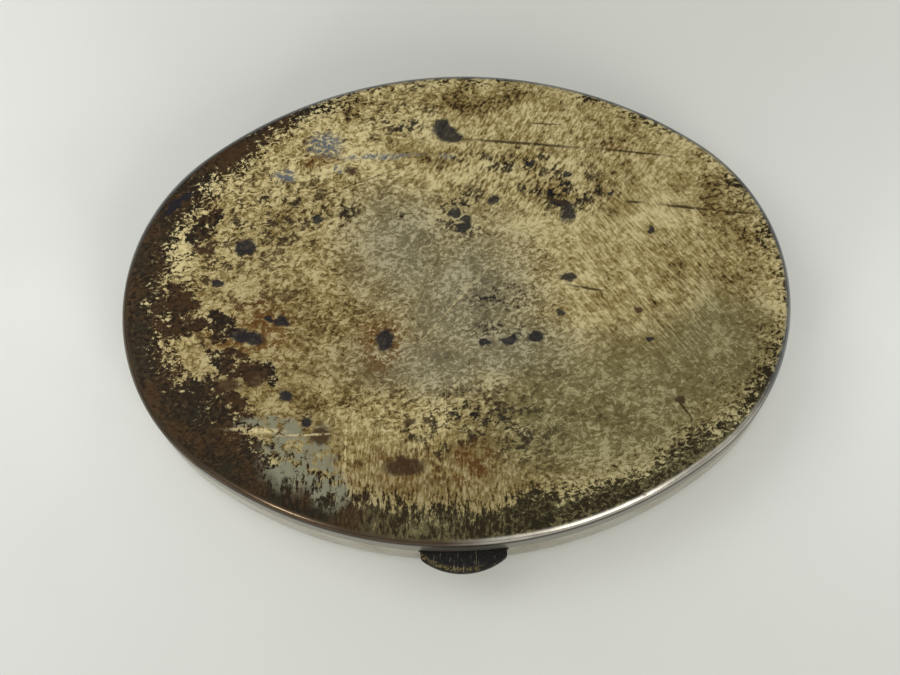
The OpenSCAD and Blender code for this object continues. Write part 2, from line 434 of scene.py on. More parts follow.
def makeRimGroup():
    # How far a place lies inside the oval outline, in mm
    tree, given, result = startGroup("fromRim", [("Vector", "Vector", None)], [("Distance", "Float")])
    flat = vectorMath(tree, "MULTIPLY", given["Vector"], (1, 1, 0))
    quarter = addNode(tree, "ShaderNodeVectorMath", {0: flat}, operation="ABSOLUTE").outputs[0]
    parts = addNode(tree, "ShaderNodeSeparateXYZ", {0: quarter}).outputs

    def inside(centre, radius):
        reach = addNode(tree, "ShaderNodeVectorMath", {0: quarter, 1: centre}, operation="DISTANCE")
        return minus(tree, radius / mm, reach.outputs["Value"])

    atEnd = inside((endX / mm, 0, 0), endRadius)
    atSide = inside((0, -sideY / mm, 0), sideRadius)
    pastEnd = times(tree, minus(tree, parts[0], endX / mm), 4 / 3)
    isEnd = calc(tree, "GREATER_THAN", pastEnd, parts[1])
    chosen = blendValue(tree, isEnd, atSide, atEnd)
    tree.links.new(chosen, result["Distance"])
    return tree


strokes = makeStrokeGroup()
blotch = makeBlotchGroup()
shake = makeShakeGroup()
fromRim = makeRimGroup()
print("shared effects ready")


def patches(tree, place, spots, soft=0.25):
    # One mask for a list of patches, each (x, y, half length, half width, turn in degrees)
    joined = None
    for x, y, long, wide, turn in spots:
        mask = useGroup(tree, blotch, "Mask", Vector=place, Middle=(x, y, 0), Size=(long, wide, 1000),
                        Turn=math.radians(turn), Soft=soft)
        joined = mask if joined is None else larger(tree, joined, mask)
    return joined


def lines(tree, place, scratches):
    # One mask for a list of scratches, each (from x, from y, to x, to y, half width)
    spots = []
    for fromX, fromY, toX, toY, wide in scratches:
        long = math.hypot(toX - fromX, toY - fromY) / 2
        turn = math.degrees(math.atan2(toY - fromY, toX - fromX))
        spots.append(((fromX + toX) / 2, (fromY + toY) / 2, long, wide, turn))
    return patches(tree, place, spots, 0.6)


# Lid: silver plate under brown and black tarnish, worn bright where it is handled

lidTarnish = {
    "brightFleck": linear(214, 198, 148),
    "khaki": linear(168, 152, 104),
    "ochre": linear(126, 106, 62),
    "gap": linear(58, 46, 28),
    "steelLight": linear(160, 155, 132),
    "steelDark": linear(112, 108, 88),
    "greenLight": linear(152, 146, 108),
    "greenDark": linear(104, 98, 66),
    "brown": linear(58, 39, 20),
    "deepBrown": linear(26, 19, 10),
    "darkOlive": linear(38, 31, 16),
    "rust": linear(98, 62, 28),
    "glaze": linear(96, 78, 44),
    "bare": linear(128, 126, 104),
    "ink": linear(24, 24, 30),
    "blueGrey": linear(98, 104, 112),
    "backEdge": linear(128, 130, 130),
    "frontEdge": linear(96, 82, 66),
    # Worn pale silver, used only on the upper half of the front-right rounding; the brown kept below it is a
    # painted darker reflection
    "rightEdge": linear(206, 200, 188),
    "seamGrey": linear(140, 136, 124),
    "rimTop": (lidHigh.z - sheet["crown"] - sheet["lidEdge"]) / mm,
    # Moves all the marks below together, in mm
    "shift": (0, 1.2, 0),
    # The edge's polished band, and the brown's reach inward: place from, place to, reach from, reach to
    "polishBand": (0.70, 0.25),
    "leftReach": (-4.0, -30.0, 0.0, 4.2),
    "frontReach": (-4.0, -20.0, 0.0, 3.3),
    "raggedReach": 13.0,
    "oliveFrom": (-14.0, -2.0),
    # How strongly each effect covers what is under it
    "steelShare": 0.72,
    "greenShare": 0.75,
    "speckShare": 0.85,
    "glazeShare": 0.5,
    "rustShare": 0.65,
    "brownShare": 0.97,
    "spotShare": 0.9,
    "inkShare": 0.92,
    "scratchShare": 0.9,
    "brightShare": 0.7,
    # The next share sets how strongly the painted dark reflection line covers the edge
    "darkLineShare": 0.85,
    "specular": 0.2,
    "edgeRough": 0.17,
    "rimRough": 0.38,
    # The strokes' turn over most of the lid, then parts with their own: the part, its strokes' turn, their
    # length and width, and how strongly they show
    "levelTurn": 12,
    "strokeParts": [([(9, 15, 13, 7, -10)], 55, 0.6, 0.28, 0.85), ([(19, 3, 9, 10, 0)], -52, 1.2, 0.22, 0.6),
        ([(-7, -18, 13, 6, 0)], 88, 0.75, 0.26, 0.8)],
    # Parts with their own tone, each a list of (x, y, half length, half width, turn in degrees) in mm
    "steelPart": [(1, 1, 6.5, 7.5, 0), (-5, 6, 5, 6, 30), (4, -4, 7, 3.5, 0), (-2, -5, 8, 3, 0)],
    "greenPart": [(14, -10, 12, 6, 12), (24, -5, 6, 5, 40)],
    "glazePart": [(-20, -5, 12, 15, 0), (-6, -18, 12, 5, 0)],
    "barePart": [(-15, -13.5, 3.4, 3.2, 30), (-17.5, -10.6, 3.2, 0.9, -4), (-12.4, -16.4, 1.8, 2.4, 30)],
    "brownPart": [(-19.6, -12.8, 1.5, 1.0, 0), (-17.6, -15.6, 1.8, 1.1, -10), (-23, -9.5, 5.5, 3.2, -35),
        (-20.5, -4.8, 3.6, 1.8, -30), (-19.5, -14, 2.4, 1.1, -35),
        (-17.5, -17.5, 2.8, 1.1, -30), (-26.5, 1, 2.6, 3.6, 0), (-24, 9, 3.2, 1.1, 48),
        (-9, -19.5, 5, 1.4, -10), (-22.8, -0.5, 1.8, 1.2, 0)],
    "rustPart": [(-6.9, -2.8, 2.3, 2.7, 0), (-19.5, -1.5, 4, 3, -20), (-5, -14.9, 3, 1.9, 0),
        (-16, -19, 5, 1.6, -25), (-11, -17, 2.5, 2.5, 0), (-12.5, 15, 1.6, 0.9, 0),
        (16.5, 16.4, 0.8, 0.6, 0), (1, -15, 2.6, 1.6, 10)],
    # Corroded spots
    "inkSpots": [(-0.3, 18.3, 1.5, 0.9, -20), (0.4, 17.8, 0.8, 0.6, 0), (-0.8, 19.2, 0.9, 0.6, 0),
        (-20.1, 7.1, 1.05, 0.75, 10), (-27.2, 11.6, 1.1, 0.5, 50), (-25.9, 12.6, 0.8, 0.4, 30),
        (-13.1, 9.7, 0.6, 0.5, 0), (-16.6, -0.5, 0.9, 0.55, -10), (-17.8, -0.2, 0.5, 0.35, 0),
        (-19.8, -2.0, 1.7, 0.7, -12), (-6.8, -2.7, 0.9, 1.15, 0), (0.2, 9.9, 0.6, 0.5, 0),
        (1.0, 8.3, 0.8, 0.55, 25), (1.3, 9.2, 0.6, 0.4, 0), (4.0, 11.1, 0.6, 0.5, 0),
        (11.2, 9.4, 0.75, 0.9, 0), (10.7, 10.5, 1.3, 0.35, -18), (10.8, 2.9, 0.75, 0.55, 0),
        (7.5, -2.9, 0.75, 0.45, 0), (2.7, -3.2, 0.45, 0.4, 0), (9.9, -0.7, 0.4, 0.3, 0),
        (-16.2, -7.9, 0.8, 0.5, -20), (-14.2, -10.3, 0.5, 0.5, 0), (5.0, -3.3, 0.8, 0.4, 0),
        (7.8, 14.8, 0.5, 0.3, 0), (15.4, 11.4, 0.35, 0.3, 0), (11.3, 13.5, 0.4, 0.3, 0),
        (18.9, 7.4, 0.35, 0.4, 60), (-22.6, 3.6, 0.7, 0.35, 0), (18.2, -3.4, 0.35, 0.25, 0)],
    "brownSpots": [(-13, -11.8, 0.95, 0.75, 0), (-5.2, -14.9, 2.0, 0.9, 0), (-9.7, 14.6, 0.6, 0.4, 0),
        (-4.6, -10.7, 0.7, 0.4, 0), (-24, 7.0, 1.1, 0.45, -10), (-21.5, -6.6, 1.1, 0.7, 0),
        (-19.2, -6.2, 0.9, 0.7, 0), (17.3, -0.6, 0.4, 0.3, 0), (20.6, -9.4, 0.5, 0.35, 0)],
    "greySpots": [(-16.2, 14.4, 1.1, 0.6, 0), (-12.3, 17.6, 1.6, 1.2, -15), (-11, 14.9, 0.5, 0.5, 0),
        (-7, 16.1, 3.6, 0.28, 0), (-0.2, 15.9, 0.8, 0.22, 0)],
    "dullPart": [(3, -13, 8, 5, 10), (-13, 0, 6, 4, 0), (-12, -8, 6, 4, 0), (8, -20, 14, 2.2, 12),
        (26, -8, 4, 6, -30), (27, 6, 2.5, 6, 10), (-2, 21.5, 14, 1.2, 0)],
    # Dark specks: near-black flecks left in the hollows
    "speckCluster": [(4, 0.9, 2.9, 1.6, -5), (5, -2.4, 3.2, 0.8, -8), (-10.2, 10.4, 1.2, 1.9, 0),
        (-18.5, 9.5, 7, 4.2, 20), (-24, 5, 4.5, 3.5, 0), (11, 12, 5, 2.4, 0), (1, 10, 2.6, 2.6, 0),
        (-21, 1, 5, 3, 0), (1, -12, 7, 4, 0), (-4, 19.5, 4, 1.6, 0), (6, 15, 6, 1.2, -5)],
    "speckled": [(3.8, 1.2, 2.6, 1.4, 0), (4.4, -1.2, 2.4, 0.9, -5), (-10.2, 10.4, 1.4, 1.7, 0),
        (-15, 10.6, 4.5, 1.6, 20), (12, 12.4, 4, 1.6, 0), (-19, 10, 6, 3.5, 15), (9, 11, 4, 1.5, -10)],
    "scratches": [(1.6, 17.6, 12.5, 16.3, 0.16), (14, 16.2, 22, 15, 0.10), (8.7, 11.2, 11.3, 10.4, 0.18),
        (12.2, 10.9, 13.4, 10.6, 0.16), (16.8, 10.5, 18.4, 10.3, 0.14), (20.4, 10.0, 25, 9.3, 0.14),
        (25, 9.3, 30, 8.7, 0.09), (20.3, -9.2, 21.6, -11.2, 0.11), (11, 2.1, 14.3, 1.4, 0.12),
        (-12, 12.3, -4, 15.2, 0.04), (8, 19.1, 11, 18.8, 0.07)],
    "brightScratches": [(-1.2, -6.4, -1.2, -10.6, 0.05), (13, 7, 20, -2, 0.08), (15.5, 9, 22.5, 1, 0.07),
        (-21.5, -10.8, -16.5, -11.2, 0.22), (-16.5, -11.6, -11.5, -11.6, 0.10),
        (4, 5, -3, -2.5, 0.05), (-10.4, -9.5, -10.8, -16, 0.10)],
}


def lidGrain(tree, at):
    # Rubbed strokes, which change direction from one part of the lid to the next
    look = lidTarnish
    grain = useGroup(tree, strokes, "Value", Vector=at["ragged"], Turn=math.radians(look["levelTurn"]),
                     Long=0.5, Wide=0.3, Detail=3.0, Rough=0.75)
    for part, turn, long, wide, share in look["strokeParts"]:
        local = useGroup(tree, strokes, "Value", Vector=at["crisp"], Turn=math.radians(turn),
                         Long=long, Wide=wide, Detail=3.0, Rough=0.75)
        where = times(tree, patches(tree, at["wander"], part, 0.4), share)
        grain = blendValue(tree, where, grain, local)
    return grain


def lidLevel(tree, at, grain, cloud, patchy):
    # How far the tarnish is rubbed through: high is bright, low is covered
    cover = plus(tree, times(tree, minus(tree, cloud, 0.5), 0.45), times(tree, minus(tree, patchy, 0.5), 0.22))
    for part, share in (("speckled", 0.05), ("dullPart", 0.06)):
        soft = 0.6 if part == "speckled" else 0.7
        cover = plus(tree, cover, times(tree, patches(tree, at["wander"], lidTarnish[part], soft), share))
    return minus(tree, grain, cover)


def wornPlate(tree, at, level, grain, patchy):
    # Khaki plate with bright flecks and dark hollows, greyer in the middle and greener to the right
    look, wander = lidTarnish, at["wander"]
    toDark = ramp(tree, level, 0.405, 0.34)
    toOchre = ramp(tree, level, 0.53, 0.39)
    toBright = ramp(tree, level, 0.48, 0.62)
    colour = blendColour(tree, toBright, look["khaki"], look["brightFleck"])
    colour = blendColour(tree, toOchre, colour, look["ochre"])
    steelTone = blendColour(tree, toBright, look["steelDark"], look["steelLight"])
    steelMask = patches(tree, wander, look["steelPart"], 0.7)
    colour = blendColour(tree, times(tree, steelMask, look["steelShare"]), colour, steelTone)
    greenTone = blendColour(tree, toBright, look["greenDark"], look["greenLight"])
    greenMask = patches(tree, wander, look["greenPart"], 0.5)
    colour = blendColour(tree, times(tree, greenMask, look["greenShare"]), colour, greenTone)
    calm = larger(tree, steelMask, times(tree, greenMask, 0.8))
    darkShare = times(tree, toDark, minus(tree, 1.0, times(tree, calm, 0.75)))
    colour = blendColour(tree, darkShare, colour, look["gap"])
    speckMask = patches(tree, wander, look["speckCluster"], 0.6)
    speckShare = times(tree, speckMask, ramp(tree, minus(tree, grain, patchy), -0.02, -0.08))
    colour = blendColour(tree, times(tree, speckShare, look["speckShare"]), colour, look["ink"])
    glazed = patches(tree, wander, look["glazePart"], 0.8)
    return blendColour(tree, times(tree, glazed, look["glazeShare"]), colour, look["glaze"])


def brownTarnish(tree, at, colour, level, grain, cloud, patchy):
    # Brown creeping in from the edge, widest at the left end, with worn islands in it
    look, wander, parts = lidTarnish, at["wander"], at["parts"]
    unshifted = vectorMath(tree, "SUBTRACT", wander, look["shift"])
    leftReach = ramp(tree, parts[0], *look["leftReach"])
    frontReach = ramp(tree, parts[1], *look["frontReach"])
    depth = minus(tree, useGroup(tree, fromRim, "Distance", Vector=unshifted),
                  plus(tree, leftReach, frontReach))
    depth = plus(tree, depth, times(tree, minus(tree, level, 0.5), look["raggedReach"]))
    edgeBrown = ramp(tree, depth, 0.6, -0.4)
    innerBrown = patches(tree, wander, look["brownPart"], 0.35)
    uneven = times(tree, minus(tree, patchy, grain), 2.2)
    brokenBrown = ramp(tree, plus(tree, innerBrown, uneven), 0.5, 0.75)
    brownMask = larger(tree, edgeBrown, brokenBrown)
    rustMask = patches(tree, wander, look["rustPart"], 0.6)
    rustShare = times(tree, rustMask, ramp(tree, minus(tree, patchy, level), -0.1, 0.15))
    colour = blendColour(tree, times(tree, rustShare, look["rustShare"]), colour, look["rust"])
    brownTone = blendColour(tree, ramp(tree, plus(tree, cloud, grain), 0.9, 1.12), look["deepBrown"],
                            look["brown"])
    oliveTone = blendColour(tree, ramp(tree, level, 0.40, 0.58), look["darkOlive"], look["greenDark"])
    brownTone = blendColour(tree, ramp(tree, parts[0], *look["oliveFrom"]), brownTone, oliveTone)
    return blendColour(tree, times(tree, brownMask, look["brownShare"]), colour, brownTone), brownMask


def lidMarks(tree, at, colour, grain, patchy):
    # A patch rubbed back to the bare plate, then the spots and the scratches
    look, ragged, crisp = lidTarnish, at["ragged"], at["crisp"]
    bareMask = patches(tree, ragged, look["barePart"], 0.35)
    bareShare = times(tree, bareMask, ramp(tree, plus(tree, grain, patchy), 0.94, 1.03))
    colour = blendColour(tree, bareShare, colour, look["bare"])
    greyMask = patches(tree, ragged, look["greySpots"], 0.5)
    colour = blendColour(tree, times(tree, greyMask, ramp(tree, grain, 0.62, 0.42)), colour, look["blueGrey"])
    brownSpots = patches(tree, ragged, look["brownSpots"], 0.3)
    colour = blendColour(tree, times(tree, brownSpots, look["spotShare"]), colour, look["brown"])
    inkSpots = patches(tree, ragged, look["inkSpots"], 0.25)
    colour = blendColour(tree, times(tree, inkSpots, look["inkShare"]), colour, look["ink"])
    scratches = times(tree, lines(tree, crisp, look["scratches"]), ramp(tree, patchy, 0.28, 0.42))
    colour = blendColour(tree, times(tree, scratches, look["scratchShare"]), colour, look["gap"])
    brightScratches = times(tree, lines(tree, crisp, look["brightScratches"]), ramp(tree, grain, 0.4, 0.55))
    colour = blendColour(tree, times(tree, brightScratches, look["brightShare"]), colour,
                         look["brightFleck"])
    return colour, inkSpots, brownSpots, scratches


def lidEdge(tree, at, colour, cloud, patchy):
    # The rounded edge and the rim below it, polished by handling and browner in front than behind. Two painted
    # reflections sit on it: a painted dark line where the edge meets the rim, and brown kept on the lower half
    # of the front-right rounding as a painted darker reflection below the highlight
    look, rim, rimTop = lidTarnish, at["rim"], lidTarnish["rimTop"]
    x, y, z = at["parts"]
    edgeWorn = times(tree, ramp(tree, rim, *look["polishBand"]), ramp(tree, patchy, 0.25, 0.36))
    towardsFront = ramp(tree, plus(tree, y, times(tree, x, 0.35)), 4.0, -10.0)
    edgeTone = blendColour(tree, towardsFront, look["backEdge"], look["frontEdge"])
    # At the front right, the upper half of the rounding is worn pale silver where the window's highlight
    # falls. The lower half keeps the brown as a painted darker reflection below that highlight
    towardsRight = times(tree, ramp(tree, x, -2.0, 5.0), ramp(tree, y, -8.0, -14.0))
    paintedReflectionSplit = ramp(tree, z, rimTop + 0.25, rimTop + 0.45)
    edgeTone = blendColour(tree, times(tree, towardsRight, paintedReflectionSplit), edgeTone, look["rightEdge"])
    edgeTone = blendColour(tree, ramp(tree, cloud, 0.35, 0.65, 0.0, 0.35), edgeTone, look["deepBrown"])
    onRim = ramp(tree, z, rimTop + 0.1, rimTop - 0.2)
    edgeTone = blendColour(tree, onRim, edgeTone, look["seamGrey"])
    # Painted dark reflection: a thin dark line where the rounded edge meets the rim, standing in for the dark
    # horizon that the edge reflects there
    darkLineAbove = ramp(tree, z, rimTop - 0.3, rimTop)
    darkLineBelow = ramp(tree, z, rimTop + 0.45, rimTop + 0.2)
    paintedDarkLine = times(tree, times(tree, darkLineAbove, darkLineBelow), ramp(tree, rim, 0.2, 0.05))
    colour = blendColour(tree, edgeWorn, colour, edgeTone)
    colour = blendColour(tree, times(tree, paintedDarkLine, look["darkLineShare"]), colour, look["deepBrown"])
    return colour, edgeWorn, onRim


def lidMaterial():
    material, tree, shader, place = startMaterial("lidPlate")
    shifted = vectorMath(tree, "ADD", place, lidTarnish["shift"])
    at = {
        "wander": useGroup(tree, shake, "Vector", Vector=shifted, Size=4.5, Reach=2.4, Detail=6.0),
        "ragged": useGroup(tree, shake, "Vector", Vector=shifted, Size=0.9, Reach=0.65, Detail=4.0),
        "crisp": useGroup(tree, shake, "Vector", Vector=shifted, Size=0.5, Reach=0.10, Detail=2.0),
        "rim": useGroup(tree, fromRim, "Distance", Vector=place),
        "parts": addNode(tree, "ShaderNodeSeparateXYZ", {0: place}).outputs,
    }
    cloud, patchy = noiseAt(tree, place, 0.22, 5.0, 0.62), noiseAt(tree, place, 0.7, 5.0, 0.6)
    grain = lidGrain(tree, at)
    level = lidLevel(tree, at, grain, cloud, patchy)
    colour = wornPlate(tree, at, level, grain, patchy)
    colour, brownMask = brownTarnish(tree, at, colour, level, grain, cloud, patchy)
    colour, inkSpots, brownSpots, scratches = lidMarks(tree, at, colour, grain, patchy)
    colour, edgeWorn, onRim = lidEdge(tree, at, colour, cloud, patchy)
    tree.links.new(colour, shader.inputs["Base Color"])
    shader.inputs["Specular IOR Level"].default_value = lidTarnish["specular"]

    # Tarnish and spots are less metallic and a little rougher than the worn plate
    crust = larger(tree, larger(tree, inkSpots, brownSpots), times(tree, brownMask, 0.7))
    crust = times(tree, crust, minus(tree, 1.0, edgeWorn))
    tree.links.new(ramp(tree, crust, 0.0, 1.0, 0.9, 0.45), shader.inputs["Metallic"])
    rough = plus(tree, ramp(tree, level, 0.35, 0.65, 0.50, 0.38), times(tree, crust, 0.06))
    edgeRough = blendValue(tree, onRim, lidTarnish["edgeRough"], lidTarnish["rimRough"])
    rough = blendValue(tree, edgeWorn, rough, edgeRough)
    tree.links.new(rough, shader.inputs["Roughness"])
    height = minus(tree, plus(tree, level, times(tree, inkSpots, 0.5)), scratches)
    height = times(tree, height, minus(tree, 1.0, edgeWorn))
    addBump(tree, shader, height, 0.3, 0.03 * mm)
    return material


# Base: the same plate, kept brighter because it is handled less

basePolish = {
    "silver": linear(190, 186, 174),
    "film": linear(158, 147, 120),
    "seamDark": linear(96, 88, 68),
    "underneath": linear(150, 140, 108),
    "spot": linear(52, 44, 36),
    "slotDarkening": (0, -23.6, 5.4, 1.6, 0),
    # Heights between which each tint sets in, in mm
    "underBand": (0.4, 0.05),
    "seamBand": (5.45, 5.8),
    "footBand": (1.5, 0.7),
    "bandShare": 0.55,
    "metallic": 0.92,
}


def baseMaterial():
    material, tree, shader, place = startMaterial("basePlate")
    look = basePolish
    parts = addNode(tree, "ShaderNodeSeparateXYZ", {0: place}).outputs
    stretched = vectorMath(tree, "MULTIPLY", place, (0.22, 0.22, 2.6))
    streaks = noiseAt(tree, stretched, 1.6, 5.0, 0.65)
    cloud = noiseAt(tree, place, 0.25, 5.0)
    specks = noiseAt(tree, place, 2.4, 4.0, 0.7)
    film = plus(tree, ramp(tree, cloud, 0.42, 0.66, 0.0, 0.5), ramp(tree, streaks, 0.5, 0.72, 0.0, 0.4))
    colour = blendColour(tree, film, look["silver"], look["film"])
    underSide = ramp(tree, parts[2], *look["underBand"])
    worn = ramp(tree, plus(tree, specks, times(tree, cloud, 0.6)), 0.72, 0.9)
    underTone = blendColour(tree, worn, look["underneath"], look["seamDark"])
    colour = blendColour(tree, times(tree, underSide, 0.85), colour, underTone)
    seamEdge = ramp(tree, plus(tree, parts[2], times(tree, specks, 0.5)), *look["seamBand"])
    footEdge = ramp(tree, plus(tree, parts[2], times(tree, streaks, 1.2)), *look["footBand"])
    lowShare = times(tree, larger(tree, seamEdge, footEdge), look["bandShare"])
    colour = blendColour(tree, lowShare, colour, look["seamDark"])
    # The wall is darker, in specks, around the tab's slot
    aroundSlot = patches(tree, place, [look["slotDarkening"]], 0.6)
    colour = blendColour(tree, times(tree, aroundSlot, ramp(tree, specks, 0.40, 0.70, 0.1, 0.6)),
                         colour, look["seamDark"])
    spots = ramp(tree, plus(tree, specks, times(tree, cloud, 0.3)), 0.80, 0.84)
    colour = blendColour(tree, spots, colour, look["spot"])
    tree.links.new(colour, shader.inputs["Base Color"])
    shader.inputs["Metallic"].default_value = look["metallic"]
    rough = plus(tree, ramp(tree, streaks, 0.3, 0.7, 0.20, 0.32), times(tree, lowShare, 0.2))
    tree.links.new(rough, shader.inputs["Roughness"])
    addBump(tree, shader, streaks, 0.15, 0.01 * mm)
    return material


def wornMetal(name, look):
    # Bright metal with a darker film in its hollows, brushed along Turn
    material, tree, shader, place = startMaterial(name)
    brushed = useGroup(tree, strokes, "Value", Vector=place, Turn=math.radians(look["turn"]),
                       Long=look["long"], Wide=look["wide"], Detail=4.0, Rough=0.65)
    cloud = noiseAt(tree, place, 0.45, 5.0, 0.6)
    film = ramp(tree, plus(tree, cloud, times(tree, brushed, 0.3)), 0.55, 0.95)
    colour = blendColour(tree, film, look["bright"], look["film"])
    pits = ramp(tree, times(tree, plus(tree, cloud, brushed), 0.5), 0.61, 0.66)
    colour = blendColour(tree, times(tree, pits, 0.7), colour, look["dark"])
    tree.links.new(colour, shader.inputs["Base Color"])
    shader.inputs["Metallic"].default_value = look["metallic"]
    rough = plus(tree, times(tree, film, 0.14),
                 ramp(tree, brushed, 0.3, 0.7, look["roughness"] - 0.05, look["roughness"] + 0.07))
    tree.links.new(rough, shader.inputs["Roughness"])
    addBump(tree, shader, brushed, 0.2, 0.01 * mm)
    return material


giltLook = {
    "bright": linear(222, 188, 116),
    "film": linear(196, 158, 92),
    "dark": linear(120, 92, 52),
    "turn": 8,
    "long": 3.0,
    "wide": 0.35,
    "roughness": 0.3,
    "metallic": 0.95,
}
hingeLook = {
    "bright": linear(176, 170, 152),
    "film": linear(112, 102, 78),
    "dark": linear(44, 38, 30),
    "turn": 90,
    "long": 1.6,
    "wide": 0.3,
    "roughness": 0.34,
    "metallic": 0.92,
}
catchLook = {
    "bright": linear(178, 168, 136),
    "film": linear(126, 110, 74),
    "dark": linear(52, 44, 32),
    "turn": 0,
    "long": 1.8,
    "wide": 0.25,
    "roughness": 0.34,
    "metallic": 0.92,
}
springLook = {
    "bright": linear(206, 176, 108),
    "film": linear(150, 118, 64),
    "dark": linear(70, 54, 34),
    "turn": 90,
    "long": 2.4,
    "wide": 0.25,
    "roughness": 0.28,
    "metallic": 0.95,
}


# Thumb tab: blackened brass, worn to the metal along its front

tabWear = {
    "black": linear(14, 13, 12),
    "dull": linear(36, 33, 28),
    "brass": linear(120, 106, 68),
    "pale": linear(150, 140, 116),
    "frontRadius": 6.4,
    # Where the worn band starts and stops, in mm from the front edge and along the tab
    "bandOuter": (0.12, 0.26),
    "bandInner": (0.68, 0.4),
    "bandRight": (3.4, 2.0),
    "scoreTurn": 86,
    "specular": 0.25,
}


def tabMaterial():
    material, tree, shader, place = startMaterial("blackTab")
    look = tabWear
    parts = addNode(tree, "ShaderNodeSeparateXYZ", {0: place}).outputs
    centre = (0, tabLow.y / mm + look["frontRadius"], 0)
    flat = vectorMath(tree, "MULTIPLY", place, (1, 1, 0))
    away = addNode(tree, "ShaderNodeVectorMath", {0: flat, 1: centre}, operation="DISTANCE").outputs["Value"]
    fromFront = minus(tree, look["frontRadius"], away)
    specks = noiseAt(tree, place, 4.2, 4.0, 0.7)
    cloud = noiseAt(tree, place, 0.9, 3.0)
    scored = useGroup(tree, strokes, "Value", Vector=place, Turn=math.radians(look["scoreTurn"]),
                      Long=1.3, Wide=0.14, Detail=2.0, Rough=0.6)
    colour = blendColour(tree, ramp(tree, specks, 0.45, 0.7), look["black"], look["dull"])

    # The worn band stops short of the right-hand end
    shaken = plus(tree, fromFront, times(tree, minus(tree, specks, 0.5), 0.9))
    outer = ramp(tree, shaken, *look["bandOuter"])
    inner = ramp(tree, shaken, *look["bandInner"])
    sideways = ramp(tree, plus(tree, parts[0], times(tree, cloud, 2.0)), *look["bandRight"])
    band = times(tree, times(tree, outer, inner), sideways)
    band = times(tree, band, ramp(tree, specks, 0.44, 0.56))
    colour = blendColour(tree, times(tree, band, 0.85), colour, look["brass"])
    thumbed = times(tree, ramp(tree, scored, 0.63, 0.69), ramp(tree, cloud, 0.42, 0.6))
    colour = blendColour(tree, times(tree, thumbed, 0.7), colour, look["pale"])
    tree.links.new(colour, shader.inputs["Base Color"])
    shader.inputs["Specular IOR Level"].default_value = look["specular"]
    metalShare = larger(tree, band, thumbed)
    tree.links.new(ramp(tree, metalShare, 0.0, 1.0, 0.25, 0.9), shader.inputs["Metallic"])
    tree.links.new(ramp(tree, metalShare, 0.0, 1.0, 0.52, 0.34), shader.inputs["Roughness"])
    height = minus(tree, times(tree, specks, 0.5), metalShare)
    addBump(tree, shader, height, 0.35, 0.03 * mm)
    return material


lidPlate = lidMaterial()
basePlate = baseMaterial()
gilt = wornMetal("gilt", giltLook)
hingeMetal = wornMetal("hingeMetal", hingeLook)
blackTab = tabMaterial()
catchMetal = wornMetal("catchMetal", catchLook)
springStrip = wornMetal("springStrip", springLook)
print("materials ready")


def giveMaterials(piece, *materials):
    for material in materials:
        piece.data.materials.append(material)


def finishPiece(piece, body, node):
    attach(piece, body)
    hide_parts(node)
    print("made", piece.name)


# Lid and base shells

def cutHingeGroove(piece):
    length = pinHigh.x - pinLow.x + hinge["ends"]
    cutAway(piece, addDrum(knuckleRadius + hinge["groove"], length, hingeMiddle))


def cutTabSlot(piece, gap, deep, top):
    # From the wall's face inward, below the given height
    slotX = (tabHigh.x - tabLow.x) / 2 + gap
    slotZ = tabHigh.z - catch["thick"] - catch["slotGap"]
    cutAway(piece, addBox((-slotX, -halfWidth - past, slotZ), (slotX, -halfWidth + deep, top + past)))


def buildLidShell():
    edgeTop = lidHigh.z - sheet["crown"]
    piece = addOvalPlate("lidShell", lidLow.z, 0)
    startEditing(piece, "FACE")
    bpy.ops.mesh.select_all(action="SELECT")
    extrudeUp(edgeTop - lidLow.z)
    pickEdges(piece, lambda edge: all(vert.co.z > edgeTop - near for vert in edge.verts))
    bpy.ops.mesh.bevel(offset=sheet["lidEdge"], segments=sheet["edgeSegments"], profile=0.5, affect="EDGES")
    pickFaces(piece, lambda face: isCap(face) and face.calc_center_median().z > edgeTop - near)
    ringFill(sheet["lidRings"])
    mesh = bmesh.from_edit_mesh(piece.data)
    for vert in mesh.verts:
        if vert.co.z > edgeTop - near / 2:
            share = 1 - (vert.co.x / (halfLength - sheet["lidEdge"])) ** 2
            share -= (vert.co.y / (halfWidth - sheet["lidEdge"])) ** 2
            vert.co.z += sheet["crown"] * max(0, share)
    pickFaces(piece, isCap)
    bpy.ops.mesh.delete(type="FACE")
    stopEditing()
    faceOut(piece)
    giveMaterials(piece, lidPlate, gilt)
    thickenInward(piece, sheet["lidWall"], liner=1)
    cutHingeGroove(piece)
    softenEdges(piece, sheet["rimBevel"])
    smoothByAngle(piece)
    finishPiece(piece, "lid", "lid_shell")


def buildBaseShell():
    piece = addOvalPlate("baseShell", baseHigh.z, 0)
    startEditing(piece, "FACE")
    bpy.ops.mesh.select_all(action="SELECT")
    extrudeUp(baseLow.z - baseHigh.z)
    pickEdges(piece, lambda edge: all(vert.co.z < baseLow.z + near for vert in edge.verts))
    bpy.ops.mesh.bevel(offset=sheet["baseEdge"], segments=sheet["edgeSegments"], profile=0.5, affect="EDGES")
    pickFaces(piece, lambda face: isCap(face) and face.calc_center_median().z < near)
    ringFill(sheet["baseRings"])
    pickFaces(piece, isCap)
    bpy.ops.mesh.delete(type="FACE")
    stopEditing()
    faceOut(piece)
    giveMaterials(piece, basePlate, gilt)
    thickenInward(piece, sheet["baseWall"], liner=1)
    cutHingeGroove(piece)
    cutTabSlot(piece, catch["slotGap"], catch["slotDeep"], baseHigh.z)
    softenEdges(piece, sheet["rimBevel"])
    smoothByAngle(piece)
    finishPiece(piece, "base", "base_shell")


# Collar, bearers and hinge

collarLow, collarHigh = nodeBox("base_collar")
knuckleLow, knuckleHigh = nodeBox("base_knuckle_middle")
knuckleRadius = (knuckleHigh.z - knuckleLow.z) / 2
bearerLow, bearerHigh = nodeBox("base_bearer")

